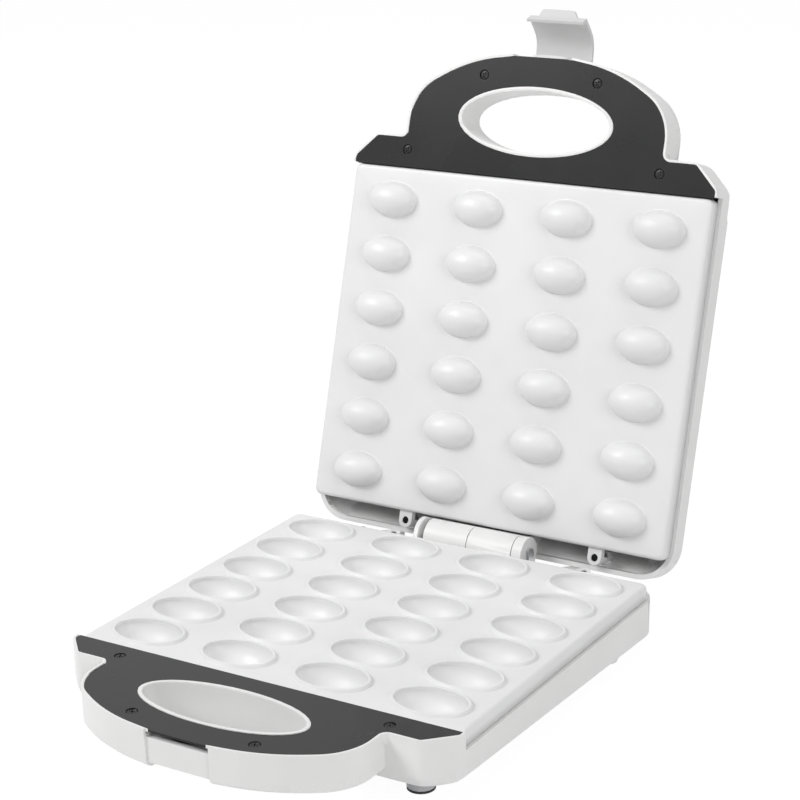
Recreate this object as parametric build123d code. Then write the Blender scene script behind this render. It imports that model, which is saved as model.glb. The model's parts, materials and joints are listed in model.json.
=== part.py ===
from build123d import *
import math
import os

# Countertop waffle maker for nut-shaped shells, lid shown open.
# Working frame while modelling: millimetres, +X right, +Y to the hinge, +Z up, origin at the
# middle of the mould pattern, z = 0 where the closed lid plate meets the rims of the hollows.

# Mould pattern
columns = 4
rows = 6
column_pitch = 59.4
row_pitch = 33.3
hollow_length = 41.0
hollow_width = 27.5
collar_height = 1.8
collar_land = 1.3
collar_slope = 1.5
dough_thickness = 3.6
closing_gap = 0.3
nut_rings = 6
nut_sides = 4

# Plates
plate_half_width = 119.4
plate_half_depth = 103.2
plate_thickness = 5.0
skirt_depth = 8.7
skirt_wall = 3.0
plate_edge_round = 2.2
hollow_wall = 2.5
lug_radius = 4.4
lug_xs = (-53.5, 75.0)
lug_y = plate_half_depth + 5.8
lug_step = 3.3
lug_bottom = 12.2
lug_hole_radius = 2.3
lug_screw_seat = 9.2
tongue_x = 60.0
tongue_half_width = 8.0
tongue_depth = 3.5
tongue_thickness = 2.5

# Outer shells
rim_wall = 1.5
shell_wall = 2.8
rim_drop = 9.0
side_round = 15.0
lid_side_straight = 2.8
handle_thickness = 22.5
handle_round = 8.5
shoulder_round = 10.0
base_front_bottom = -30.0
base_rear_bottom = -37.8
panel_thickness = 2.0
panel_gap = 0.3
base_panel_top = -1.5
lid_panel_top = 0.6
rim_above_panel = 0.5
pocket_depth = 15.0

# Corner points of the panel edge on the right half: x, y, corner radius
body_side = plate_half_width + 0.5
body_back = plate_half_depth + 12.5
body_front = -plate_half_depth - 18.2
corner_cut_along = 13.6
corner_cut_across = 13.7
body_corners = (
    (body_side, body_back, 20.0),
    (body_side, body_front + corner_cut_along, 2.5),
    (body_side - corner_cut_across, body_front, 2.5),
)
handle_half_width = 84.9
notch_corner = (handle_half_width, body_front, 5.0)
handle_corners = (
    (handle_half_width, body_front - 28.0, 17.5),
    (handle_half_width - 36.5, body_front - 49.3, 66.0),
)
handle_tip = (0.0, body_front - 56.3, 130.0)
panel_back = -plate_half_depth - 0.5
outside = plate_half_width + plate_half_depth
neck_half_width = plate_half_width - 19.4

# Grip opening
grip_y = body_front - 16.0
grip_half_length = 49.3
grip_half_width = 18.3
grip_ring = 2.2

# Panel screws
screw_places = ((handle_half_width - 0.7, body_front + 7.2), (37.6, body_front - 41.3))

# Hinge
hinge_y = plate_half_depth + 10.7
hinge_z = -4.25
barrel_radius = 10.3
base_knuckles = ((-29.3, -0.3), (30.4, 36.6))
lid_knuckles = ((-36.2, -29.9), (0.3, 29.8))
hook_slot = (-33.3, -29.6)
pin_radius = 2.5
pin_left = 38.4
pin_right = 36.7
running_clearance = 0.06
press_clearance = 0.02
stop_lug_x = 62.0
lid_open_angle = 107.4

# Latch
latch_y = body_front - 52.1
latch_z = 25.0
latch_half_width = 18.7
latch_pin_radius = 1.5
hub_radius = 4.0
boss_half_width = 11.0
latch_swing = 55.4
recess_half_width = 19.6
recess_y = body_front - 53.9
slot_height = 2.8
slot_top = -2.8

# Feet
floor_z = -42.4
front_foot = (plate_half_width - 29.2, body_front + 24.9)
rear_foot = (plate_half_width - 16.0, plate_half_depth - 23.3)
foot_top_radius = 9.3
foot_tip_radius = 7.4
foot_pad_height = 1.2

# Heating parts
element_radius = 3.2
element_x = 70.0
clamp_reach = 8.5
sheet_metal = 0.6
reflector_half_width = plate_half_width - 19.4
reflector_half_depth = plate_half_depth - 17.2
lower_reflector_z = -27.0
upper_reflector_z = 16.3

# Indicator lamps in the lid top
lamp_x = 14.0
lamp_y = -plate_half_depth + 15.2
lamp_radius = 4.0

# Mains inlet
cord_hole_radius = 4.1
cord_gland_radius = 6.6
cord_x = -plate_half_width + 31.4
terminal_seat = -29.1
terminal_front = plate_half_depth - 14.7
terminal_back = plate_half_depth - 3.2
cord_z = -20.0

# Heights that follow from the sizes above
bulge_radius = hollow_width / 2 + hollow_wall
bulge_half_length = hollow_length / 2 + hollow_wall
lower_element_z = -bulge_radius - element_radius - 0.15
upper_element_z = closing_gap + plate_thickness + element_radius + 0.1
base_plate_z = -collar_height
base_rim_z = base_plate_z - rim_drop
lid_rim_z = rim_drop
base_rim_top = base_panel_top + rim_above_panel
lid_rim_top = lid_panel_top - rim_above_panel
base_front = body_corners[2][1] - rim_wall
base_rear = body_corners[0][1] + rim_wall
base_slope = math.degrees(math.atan((base_front_bottom - base_rear_bottom) / (base_rear - base_front)))
base_bottom = base_front_bottom + base_front * math.tan(math.radians(base_slope))
lid_top = lid_rim_z + lid_side_straight + side_round


# Outline helpers

def mirrored(points):
    """Right-half corner points, front and back, turned into a closed list."""
    return list(points) + [(-x, y, r) for x, y, r in reversed(points)]


def full_corners():
    """Panel edge with shoulders, neck notches and handle."""
    right = list(body_corners) + [notch_corner] + list(handle_corners)
    return right + [handle_tip] + [(-x, y, r) for x, y, r in reversed(right)]


def body_only_corners():
    return mirrored(body_corners)


def handle_only_corners(inner_y):
    right = [(handle_corners[0][0], inner_y, 0.0)] + list(handle_corners)
    return right + [handle_tip] + [(-x, y, r) for x, y, r in reversed(right)]


def moved_corners(corners, grow):
    """Corner list of the outline moved outward by grow, inward when grow is negative."""
    count = len(corners)
    area = 0.0
    for i in range(count):
        x0, y0, _ = corners[i]
        x1, y1, _ = corners[(i + 1) % count]
        area += x0 * y1 - x1 * y0
    turn = 1.0 if area > 0 else -1.0
    lines = []
    for i in range(count):
        x0, y0, _ = corners[i]
        x1, y1, _ = corners[(i + 1) % count]
        length = math.hypot(x1 - x0, y1 - y0)
        dx = (x1 - x0) / length
        dy = (y1 - y0) / length
        lines.append((x0 + turn * dy * grow, y0 - turn * dx * grow, dx, dy))
    result = []
    for i in range(count):
        ax, ay, adx, ady = lines[i - 1]
        bx, by, bdx, bdy = lines[i]
        cross = adx * bdy - ady * bdx
        t = ((bx - ax) * bdy - (by - ay) * bdx) / cross
        bend = turn * cross
        radius = corners[i][2] + (grow if bend > 0 else -grow)
        radius = max(radius, 0.6) if corners[i][2] > 0 else 0.0
        result.append((ax + t * adx, ay + t * ady, radius))
    return result


def rounded_wire(corners, z):
    """Closed wire of straight lines and corner arcs at height z."""
    count = len(corners)
    tangents = []
    for i in range(count):
        px, py, _ = corners[i - 1]
        x, y, radius = corners[i]
        nx, ny, _ = corners[(i + 1) % count]
        a = Vector(px - x, py - y, 0).normalized()
        b = Vector(nx - x, ny - y, 0).normalized()
        half = math.acos(max(-1.0, min(1.0, a.dot(b)))) / 2
        reach = radius / math.tan(half)
        middle = (a + b).normalized()
        corner = Vector(x, y, z)
        apex = corner + middle * (radius / math.sin(half) - radius)
        tangents.append((corner + a * reach, apex, corner + b * reach))
    edges = []
    for i in range(count):
        start, apex, end = tangents[i]
        if corners[i][2] > 0:
            edges.append(ThreePointArc(start, apex, end))
        following = tangents[(i + 1) % count][0]
        edges.append(Line(end, following))
    return Wire(edges)


def slab(corners, z0, z1):
    low, high = min(z0, z1), max(z0, z1)
    return extrude(Face(rounded_wire(corners, low)), amount=high - low, dir=(0, 0, 1))


def sharp_front(corners):
    """Same outline with its tight front corners left sharp, which lets a large edge round mitre there."""
    return [(x, y, r if r > side_round else 0.0) for x, y, r in corners]


def edges_at(shape, z):
    return shape.edges().filter_by(lambda e: abs(e.center().Z - z) < 0.01)


def oval_points(cx, cy, half_length, half_width, sides):
    return [(cx + half_length * math.cos(2 * math.pi * i / sides),
             cy + half_width * math.sin(2 * math.pi * i / sides), 0) for i in range(sides)]


def ellipse_prism(cx, cy, half_length, half_width, z0, z1):
    """Upright oval in short flat sides."""
    return slab(oval_points(cx, cy, half_length, half_width, 40), z0, z1)


def stacked(rings):
    """Closed solid of flat faces between successive rings of points; the end rings may shrink to a point."""
    faces = []
    for lower, upper in zip(rings, rings[1:]):
        for i in range(len(lower)):
            k = (i + 1) % len(lower)
            points = []
            for p in (lower[i], lower[k], upper[k], upper[i]):
                if not points or math.dist(p, points[-1]) > 1e-6:
                    points.append(p)
            if math.dist(points[0], points[-1]) < 1e-6:
                points.pop()
            faces.append(Face(Wire.make_polygon(points, close=True)))
    for ring in (rings[0], rings[-1]):
        if math.dist(ring[0], ring[1]) > 1e-6:
            faces.append(Face(Wire.make_polygon(ring, close=True)))
    return Solid(Shell(faces))


def rod_x(x0, x1, y, z, radius):
    return Pos((x0 + x1) / 2, y, z) * Rot(0, 90, 0) * Cylinder(radius, x1 - x0)


def rod_z(x, y, z0, z1, radius):
    return Pos(x, y, (z0 + z1) / 2) * Cylinder(radius, abs(z1 - z0))


def brick(x0, x1, y0, y1, z0, z1):
    size = (x1 - x0, y1 - y0, z1 - z0)
    return Pos((x0 + x1) / 2, (y0 + y1) / 2, (z0 + z1) / 2) * Box(*size)


def hollow_places():
    places = []
    for i in range(columns):
        for j in range(rows):
            x = (i - (columns - 1) / 2) * column_pitch
            y = (j - (rows - 1) / 2) * row_pitch
            places.append((x, y))
    return places


def nut_form(half_length, radius):
    """Nut form with its long axis along X, in flat facets so that the many copies stay light."""
    rings = []
    for i in range(nut_rings + 1):
        angle = math.pi * i / nut_rings
        ring = []
        for j in range(2 * nut_sides):
            turn = math.pi * j / nut_sides
            ring.append((-half_length * math.cos(angle), radius * math.sin(angle) * math.cos(turn),
                         radius * math.sin(angle) * math.sin(turn)))
        rings.append(ring)
    return stacked(rings)


def collar_form(plane):
    """Raised rim round a hollow, its sloping side wider at the foot."""
    wires = []
    for z, spread in ((plane - 0.2, collar_land + collar_slope), (0.0, collar_land)):
        points = []
        for i in range(2 * nut_rings):
            angle = math.pi * i / nut_rings
            points.append((-(hollow_length / 2 + spread) * math.cos(angle),
                           (hollow_width / 2 + spread) * math.sin(angle), z))
        wires.append(Wire.make_polygon(points, close=True))
    return Solid.make_loft(wires, ruled=True)


# Shell forms shared by base and lid, "side" is -1 for the base and +1 for the lid

def tilted(shape, side):
    """The base deepens toward the hinge, so its tub leans back by the slope of its floor."""
    if side > 0:
        return shape
    return shape.rotate(Axis((0, 0, base_rim_top), (1, 0, 0)), -base_slope)


def banded_edge(block, side, radius, limit_y):
    """Rounds the far edge of a block in three bevel bands, which keeps the facets few."""
    for on_floor, on_wall in ((0.42, 0.42), (0.16, 0.26)):
        floor = block.faces().sort_by(Axis.Z)[0 if side < 0 else -1]
        rim = floor.edges().filter_by(lambda e: e.center().Y < limit_y)
        block = chamfer(rim, radius * on_floor, radius * on_wall, reference=floor)
    return block


def body_block(side, start):
    """Outer form of a shell with its far edge rounded."""
    far = base_bottom if side < 0 else lid_top
    above = start - side * 8
    outline = moved_corners(body_only_corners(), rim_wall)
    block = banded_edge(slab(sharp_front(outline), above, far), side, side_round, 200)
    block &= slab([(x, y, max(r, shoulder_round)) for x, y, r in outline], above, far)
    block = tilted(block, side)
    low, high = sorted((start, start - side * 30))
    return block - brick(-outside, outside, -outside, outside, low, high)


def cavity_block(side, start):
    """Room inside a shell, with bevelled lower edges that follow the outer round."""
    far = (base_bottom if side < 0 else lid_top) - side * shell_wall
    outline = sharp_front(moved_corners(body_only_corners(), rim_wall - shell_wall))
    block = slab(outline, start - side * 8, far)
    return tilted(chamfer(edges_at(block, far), side_round - shell_wall - 4), side)


def handle_block(side, top):
    """Grip form with upright walls and a rounded far edge."""
    outline = moved_corners(handle_only_corners(-92.0), rim_wall)
    return banded_edge(slab(outline, top, top + side * handle_thickness), side, handle_round, -95)


def knuckle(side, x0, x1, top, full_form):
    """Hinge barrel length with the web that carries it down to the floor or up to the lid top."""
    barrel = rod_x(x0, x1, hinge_y, hinge_z, barrel_radius)
    web = brick(x0, x1, hinge_y - 9.3, hinge_y + 3.8, min(hinge_z, top), max(hinge_z, top))
    outside = brick(x0, x1, hinge_y - 9.3, hinge_y + 3.8, min(hinge_z, rim_level(side)),
                    max(hinge_z, rim_level(side)))
    web = (web & full_form) + outside
    # Moulding recess in the web, open to the inside of the shell.
    wide = (x1 - x0) > 12
    if wide:
        start = hinge_z + side * (barrel_radius + 3)
        end = top - side * 2.0
        middle = (x0 + x1) / 2
        for a, b in ((x0 + 2.4, middle - 1.2), (middle + 1.2, x1 - 2.4)):
            web -= brick(a, b, hinge_y - 10, hinge_y + 0.6, min(start, end), max(start, end))
    return barrel + web


def rim_level(side):
    return base_rim_z if side < 0 else lid_rim_z


def shell(side):
    """Moulded shell with handle, open toward the plate side."""
    rim = rim_level(side)
    rim_top = base_rim_top if side < 0 else lid_rim_top
    panel_top = base_panel_top if side < 0 else lid_panel_top
    inside = (base_bottom if side < 0 else lid_top) - side * shell_wall
    form = body_block(side, rim_top)
    form += handle_block(side, rim_top)
    neck = slab(moved_corners(full_corners(), rim_wall), rim_top, rim_top + side * 5.5)
    neck &= brick(-neck_half_width, neck_half_width, body_front - 5.6, body_front + 9.4, -60, 60)
    form += neck
    # The side and back walls are lower than the handle rim.
    low, high = sorted((rim, rim_top - side))
    form -= brick(-outside, outside, panel_back - 0.6, outside, low, high)
    full_form = form
    # Room for the plate, the heating parts and the wiring.
    cavity = cavity_block(side, rim_top)
    cavity -= brick(-outside, outside, body_front - 8.6, panel_back - 1.9, -60, 60)
    form -= cavity
    # Seat for the trim panel and the hollow under it, with a sleeve and screw bosses left standing.
    seat = panel_top + side * panel_thickness
    seat_form = slab(moved_corners(full_corners(), panel_gap - 0.15), rim_top - side * 3, seat)
    form -= seat_form & brick(-outside, outside, -outside, panel_back + 0.3, -60, 60)
    pocket_outline = [(x, y, 0.0) for x, y, r in moved_corners(full_corners(), -5.2)]
    pocket = slab(pocket_outline, seat - side * 0.5, seat + side * pocket_depth)
    pocket &= brick(-outside, outside, -outside, panel_back - 4.5, -60, 60)
    pocket -= slab(oval_points(0, grip_y, grip_half_length + 3.6, grip_half_width + 3.0, 20), -60, 60)
    for x, y in screw_places:
        for sx in (-1, 1):
            pocket -= brick(sx * x - 4, sx * x + 4, y - 4, y + 4, -60, 60)
    form -= pocket
    # Raised ring round the grip opening, then the opening itself.
    ring_top = panel_top - side * 0.3
    form += ellipse_prism(0, grip_y, grip_half_length + grip_ring, grip_half_width + grip_ring,
                          ring_top, seat + side * 2)
    form -= ellipse_prism(0, grip_y, grip_half_length, grip_half_width, -60, 60)
    # Flat recess at the handle front for the latch.
    form -= brick(-recess_half_width, recess_half_width, -outside, recess_y, -60, 60)
    # Slots for the front tongues of the plate.
    tongue_z = plate_plane(side) + side * tongue_depth
    for sx in (-1, 1):
        x0 = sx * tongue_x - tongue_half_width - 0.4
        x1 = sx * tongue_x + tongue_half_width + 0.4
        z0 = tongue_z - side * 0.3
        z1 = tongue_z + side * (tongue_thickness + 0.3)
        form -= brick(x0, x1, panel_back - 5.3, panel_back - 0.3, min(z0, z1), max(z0, z1))
    # Posts under the rear plate lugs and for the reflector.
    for x in lug_xs:
        post_top = plate_plane(side) + side * lug_bottom
        form += rod_z(x, lug_y, post_top, inside + side * 0.5, lug_radius)
    reflector_z = lower_reflector_z if side < 0 else upper_reflector_z
    for sx in (-1, 1):
        for sy in (-1, 1):
            z0, z1 = sorted((reflector_z + side * sheet_metal, base_bottom if side < 0 else lid_top - 1))
            form += brick(sx * 84 - 4, sx * 84 + 4, sy * 70 - 4, sy * 70 + 4, z0, z1) & body_block(side, rim)
    # Hinge knuckles with clearance for those of the other shell.
    own = base_knuckles if side < 0 else lid_knuckles
    other = lid_knuckles if side < 0 else base_knuckles
    for x0, x1 in other:
        form -= rod_x(x0 - 0.3, x1 + 0.3, hinge_y, hinge_z, barrel_radius + 0.7)
    for x0, x1 in own:
        form += knuckle(side, x0, x1, inside + side * 0.5, full_form)
    if side > 0:
        # The narrow left knuckle is a hook with an open slot beside the base barrel.
        form -= brick(hook_slot[0], hook_slot[1], hinge_y - 14, hinge_y + 14, hinge_z - 14, hinge_z + 5.5)
    bore = pin_radius + (press_clearance if side < 0 else running_clearance)
    form -= rod_x(-60, 60, hinge_y, hinge_z, bore)
    return form


# Base shell with stop lugs, cord inlet, latch slot and vents, and its feet

def tapered_foot(x, y, low):
    """Foot in flat sides, its top shaped to the rounded underside of the base."""
    rings = []
    for z, radius in ((low, foot_tip_radius), (base_front_bottom + 1, foot_top_radius)):
        rings.append([(px, py, z) for px, py, _ in oval_points(x, y, radius, radius, 16)])
    return stacked(rings) - body_block(-1, base_rim_z)


def stop_lug(x):
    """Bracket on the back wall that the opened lid leans on."""
    slope = math.tan(math.radians(lid_open_angle - 90))
    offset = (base_rear - hinge_y) / math.cos(math.radians(lid_open_angle - 90))

    def top(y):
        return hinge_z - offset - slope * (y - hinge_y) - 0.3

    near = hinge_y + 3.0
    far = hinge_y + 14.3
    points = ((near, top(near)), (far, top(far)), (far, top(far) - 2.4), (near, -24.0))
    face = make_face(Polyline(*[(0, y, z) for y, z in points], close=True))
    return Pos(x - 4.5, 0, 0) * extrude(face, amount=9, dir=(1, 0, 0))


def make_base_housing():
    form = shell(-1)
    for sx in (-1, 1):
        form += stop_lug(sx * stop_lug_x)
    # Cord inlet boss and hole in the back wall.
    form += Pos(cord_x, body_back - 1.8, cord_z) * Rot(90, 0, 0) * Cylinder(8.4, 8.6)
    form -= Pos(cord_x, body_back - 3.7, cord_z) * Rot(90, 0, 0) * Cylinder(cord_gland_radius - 1.1, 30)
    # Raised seat for the terminal block.
    seat = brick(cord_x + 6, cord_x + 30, terminal_front, terminal_back, base_rear_bottom + 2, terminal_seat)
    form += seat & body_block(-1, base_rim_z)
    # Slot that takes the latch blade, and a shallow finger notch below it.
    form -= brick(-19.3, 19.3, recess_y - 4.7, recess_y + 4.7, slot_top - slot_height, slot_top)
    form -= brick(-recess_half_width, recess_half_width, recess_y - 6.7, recess_y + 6.3,
                  -60, base_rim_top - 18.5)
    # Bottom vents.
    for sx in (-1, 1):
        for i in range(6):
            y = 30 + i * 8
            form -= brick(sx * 40 - 22, sx * 40 + 22, y, y + 3.2, -50, -30)
    return form


def make_lid_housing():
    form = shell(1)
    # Boss that carries the latch pin.
    circle = Pos(0, latch_y, latch_z) * Rot(0, 90, 0) * Cylinder(hub_radius, 2 * boss_half_width)
    points = ((latch_y - hub_radius, latch_z), (latch_y - hub_radius, 9.0), (latch_y + 10.5, 13.0),
              (latch_y + 10.5, 17.0), (latch_y + hub_radius, latch_z))
    face = make_face(Polyline(*[(-boss_half_width, y, z) for y, z in points], close=True))
    boss = circle + extrude(face, amount=2 * boss_half_width, dir=(1, 0, 0))
    # Trough in the grip edge that gives the latch knuckles room.
    form -= rod_x(-recess_half_width, recess_half_width, latch_y, latch_z, hub_radius + 0.6)
    form += boss
    form -= rod_x(-30, 30, latch_y, latch_z, latch_pin_radius + press_clearance)
    # Lamp holes in the top.
    for sx in (-1, 1):
        form -= rod_z(sx * lamp_x, lamp_y, 10, 40, lamp_radius + 0.1)
    return form


# Trim panels

def make_panel(side):
    top = base_panel_top if side < 0 else lid_panel_top
    seat = top + side * panel_thickness
    panel = slab(moved_corners(full_corners(), -0.15), top, seat)
    panel &= brick(-outside, outside, -outside, panel_back, -60, 60)
    panel -= ellipse_prism(0, grip_y, grip_half_length + grip_ring + 0.25,
                           grip_half_width + grip_ring + 0.25, -60, 60)
    panel -= brick(-recess_half_width, recess_half_width, -outside, recess_y, -60, 60)
    if side < 0:
        # The blade of the latch hooks under this thinner edge.
        panel -= brick(-19.3, 19.3, recess_y - 4.7, recess_y + 3.8, seat - 1, slot_top + 0.05)
    return panel


# Mould plates

def plate_plane(side):
    return -collar_height if side < 0 else closing_gap


def make_plate(side):
    plane = plate_plane(side)
    corners = mirrored(((plate_half_width, plate_half_depth, 5.5),
                        (plate_half_width, -plate_half_depth, 3.0)))
    block = slab([(x, y, 0.0) for x, y, r in corners], plane, plane + side * skirt_depth)
    block = chamfer(edges_at(block, plane), plate_edge_round * 0.6)
    block &= slab(corners, plane, plane + side * skirt_depth)
    block -= slab(moved_corners(corners, -skirt_wall), plane + side * plate_thickness,
                  plane + side * (skirt_depth + 1))
    back = plane + side * plate_thickness
    # Forms of the mould: hollows with raised collars below, domes above.
    if side < 0:
        outline = [(-bulge_half_length, bulge_radius * math.cos(math.radians(a)),
                    -bulge_radius * math.sin(math.radians(a))) for a in (14, 55, 90, 125, 166)]
        bulge = extrude(make_face(Polyline(*outline, close=True)), amount=2 * bulge_half_length,
                        dir=(1, 0, 0))
        collar = collar_form(plane)
        block += [Pos(x, y, 0) * bulge for x, y in hollow_places()]
        block += [Pos(x, y, 0) * collar for x, y in hollow_places()]
    else:
        dome = nut_form(hollow_length / 2 - dough_thickness, hollow_width / 2 - dough_thickness)
        dome &= brick(-30, 30, -20, 20, -20, plate_thickness / 2)
        block += [Pos(x, y, plane) * dome for x, y in hollow_places()]
    # Rear lugs, front tongues and the posts for the clamp straps.
    fittings = []
    for x in lug_xs:
        top = plane + side * lug_step
        low, high = sorted((top, top + side * 4.0))
        fittings.append(rod_z(x, lug_y, top, plane + side * lug_bottom, lug_radius))
        fittings.append(brick(x - lug_radius, x + lug_radius, plate_half_depth - 1.5, lug_y, low, high))
    low, high = sorted((plane + side * tongue_depth, plane + side * (tongue_depth + tongue_thickness)))
    for sx in (-1, 1):
        fittings.append(brick(sx * tongue_x - tongue_half_width, sx * tongue_x + tongue_half_width,
                              -plate_half_depth - 4.4, -plate_half_depth + 1.5, low, high))
    block += fittings
    end = (lower_element_z if side < 0 else upper_element_z) + side * (element_radius + 0.1)
    low, high = sorted((back - side * 0.5, end))
    posts = [(x + reach, y) for x, y in clamp_places() for reach in (-clamp_reach, clamp_reach)]
    block += [brick(x - 2.5, x + 2.5, y - 2.5, y + 2.5, low, high) for x, y in posts]
    if side < 0:
        hollow = nut_form(hollow_length / 2, hollow_width / 2)
        hollow &= brick(-30, 30, -20, 20, -20, 1)
        block -= [Pos(x, y, 0) * hollow for x, y in hollow_places()]
    for x in lug_xs:
        block -= rod_z(x, lug_y, plane - side, plane + side * lug_screw_seat, lug_hole_radius)
    return block


# Heating parts behind each plate

def clamp_places():
    return [(sx * element_x, y) for sx in (-1, 1) for y in (0.0, 2 * row_pitch)]


def heating_element(z):
    """Tube bent to a U, its ends beside the hinge."""
    front = -1.5 * row_pitch
    half = [(element_x, 88, z)]
    for i in range(4):
        turn = math.pi * i / 6
        half.append((element_x - 18 + 18 * math.cos(turn), front + 18 - 18 * math.sin(turn), z))
    path = Polyline(*half, *[(-x, y, z) for x, y, z in reversed(half)])
    start = Plane(origin=path @ 0, z_dir=path % 0)
    profile = start * RegularPolygon(element_radius, 8, major_radius=False, rotation=22.5)
    return sweep(profile, path=path, transition=Transition.RIGHT)


def element_clamps(z, side):
    straps = []
    for x, y in clamp_places():
        seat = z + side * (element_radius + 0.1)
        low, high = sorted((seat, seat + side * 1.2))
        straps.append(brick(x - clamp_reach - 4, x + clamp_reach + 4, y - 4, y + 4, low, high))
    return straps


def reflector(z, side):
    """Thin sheet with upturned edges behind the element."""
    corners = mirrored(((reflector_half_width, reflector_half_depth, 0.0),
                        (reflector_half_width, -reflector_half_depth, 0.0)))
    tray = slab(corners, z + side * sheet_metal, z - side * 3.5)
    tray -= slab(moved_corners(corners, -sheet_metal), z, z - side * 9)
    return tray


def thermostat(x, y, seat, side):
    """Disc thermostat pressed on the back of the plate, with two blade contacts."""
    body = rod_z(x, y, seat, seat + side * 5.5, 6.2)
    low, high = sorted((seat + side * 5.0, seat + side * 5.8))
    return body + brick(x - 1.6, x + 1.6, y - 10.5, y + 10.5, low, high)


# Latch, drawn in the position it has in front of the opened handle

def make_latch():
    top = latch_z + hub_radius
    outer = ((latch_y, top), (latch_y - 6.1, 28.7), (latch_y - 11.5, 28.1), (latch_y - 15.5, 26.8),
             (latch_y - 19.1, 24.6), (latch_y - 22.9, 20.2))
    inner = ((latch_y - 27.8, 13.2), (latch_y - 24.9, 8.8), (latch_y - 23.5, 9.7),
             (latch_y - 25.2, 12.9), (latch_y - 21.0, 18.8), (latch_y - 17.7, 22.8))
    back = ((latch_y - 14.5, 25.0), (latch_y - 10.9, 26.1), (latch_y - 6.1, 26.6), (latch_y, latch_z + 1.8))
    edges = Polyline(*[(0, y, z) for y, z in outer + inner + back], close=True)
    sheet = extrude(make_face(edges), amount=latch_half_width, dir=(1, 0, 0), both=True)
    hub = rod_x(-latch_half_width, latch_half_width, latch_y, latch_z, hub_radius)
    form = sheet + hub
    # Window between the two knuckles for the boss of the handle.
    form -= brick(-boss_half_width - 0.35, boss_half_width + 0.35, latch_y - 4.8, latch_y + 4.8,
                  latch_z - 4.8, latch_z + 4.8)
    form -= rod_x(-40, 40, latch_y, latch_z, latch_pin_radius + running_clearance)
    # Thumb tab along the bend.
    root = latch_y - 27.1
    tip = latch_y - 31.9
    tab = [(-13.0, root, 0.3), (-10.4, tip, 3.0), (10.4, tip, 3.0), (13.0, root, 0.3)]
    form += slab(tab, 12.3, 14.3)
    return form


# Assembly of named nodes, base parts first

def group(shapes):
    return Compound(children=list(shapes))


def rear_inlet_gland():
    face = body_corners[0][1] + rim_wall + 1
    gland = Pos(cord_x, face + 1.0, cord_z) * Rot(90, 0, 0) * Cylinder(cord_gland_radius, 2.0)
    gland += Pos(cord_x, face - 3.5, cord_z) * Rot(90, 0, 0) * Cylinder(cord_gland_radius - 1.2, 9.0)
    gland += Pos(cord_x, face + 6.4, cord_z) * Rot(90, 0, 0) * Cylinder(cord_hole_radius + 1.2, 9.0)
    gland -= Pos(cord_x, face, cord_z) * Rot(90, 0, 0) * Cylinder(cord_hole_radius, 60)
    return gland


def terminal_block():
    """Three-way block with open screw wells."""
    block = brick(cord_x + 6, cord_x + 30, terminal_front, terminal_back, terminal_seat, terminal_seat + 7.5)
    for x in (-78, -70, -62):
        block -= brick(x - 2, x + 2, 92, 96.5, terminal_seat + 3.5, terminal_seat + 8)
    return block


def hinge_pin():
    pin = rod_x(-pin_left, pin_right, hinge_y, hinge_z, pin_radius)
    cap = rod_x(pin_right - 0.1, pin_right + 1.4, hinge_y, hinge_z, 4.2)
    cap -= brick(pin_right - 1, pin_right + 3, hinge_y - 6, hinge_y - 2.6, hinge_z - 6, hinge_z + 6)
    return pin + cap


def hinge_clip():
    ring = rod_x(-pin_left + 0.6, -pin_left + 1.8, hinge_y, hinge_z, 4.4)
    ring -= rod_x(-60, 0, hinge_y, hinge_z, pin_radius + 0.02)
    ring -= brick(-60, 0, hinge_y - 1.3, hinge_y + 1.3, hinge_z - 8, hinge_z)
    return ring


def lamp_lens(sx):
    """Lens with a square flange below the lid top."""
    flange = lid_top - shell_wall
    lens = rod_z(sx * lamp_x, lamp_y, flange - 1.0, lid_top + 0.9, lamp_radius)
    return lens + brick(sx * lamp_x - 5, sx * lamp_x + 5, lamp_y - 5, lamp_y + 5, flange - 1.6, flange)


def lamp_holder():
    """Bar that presses both lenses against the lid top."""
    flange = lid_top - shell_wall
    holder = brick(-lamp_x - 12, lamp_x + 12, lamp_y - 6, lamp_y + 6, flange - 4.6, flange - 1.6)
    for sx in (-1, 1):
        holder -= brick(sx * lamp_x - 2.5, sx * lamp_x + 2.5, lamp_y - 2.5, lamp_y + 2.5, 10, 30)
        holder += brick(sx * 24 - 2, sx * 24 + 2, lamp_y - 3, lamp_y + 3, flange - 2, flange)
    return holder


def thermal_fuse():
    z = closing_gap + plate_thickness + 2.2
    return rod_x(-9, 9, -33.3, z, 2.0) + brick(-15, 15, -34, -32.6, z - 0.5, z + 0.5)


nodes = {}
nodes["base_housing"] = make_base_housing()
nodes["base_handle_panel"] = make_panel(-1)
nodes["lower_plate"] = make_plate(-1)
nodes["lower_heating_element"] = heating_element(lower_element_z)
nodes["lower_element_clamps"] = group(element_clamps(lower_element_z, -1))
nodes["lower_reflector"] = reflector(lower_reflector_z, -1)
nodes["lower_thermostat"] = thermostat(0, row_pitch / 2, -collar_height - plate_thickness, -1)
nodes["terminal_block"] = terminal_block()
nodes["cord_gland"] = rear_inlet_gland()
nodes["hinge_pin"] = hinge_pin()
nodes["hinge_clip"] = hinge_clip()
for name, sx in (("left", -1), ("right", 1)):
    x, y = sx * front_foot[0], front_foot[1]
    nodes["front_foot_" + name] = tapered_foot(x, y, floor_z + foot_pad_height)
    nodes["front_foot_pad_" + name] = rod_z(x, y, floor_z, floor_z + foot_pad_height, foot_tip_radius)
    nodes["rear_foot_" + name] = tapered_foot(sx * rear_foot[0], rear_foot[1], floor_z)

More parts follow.
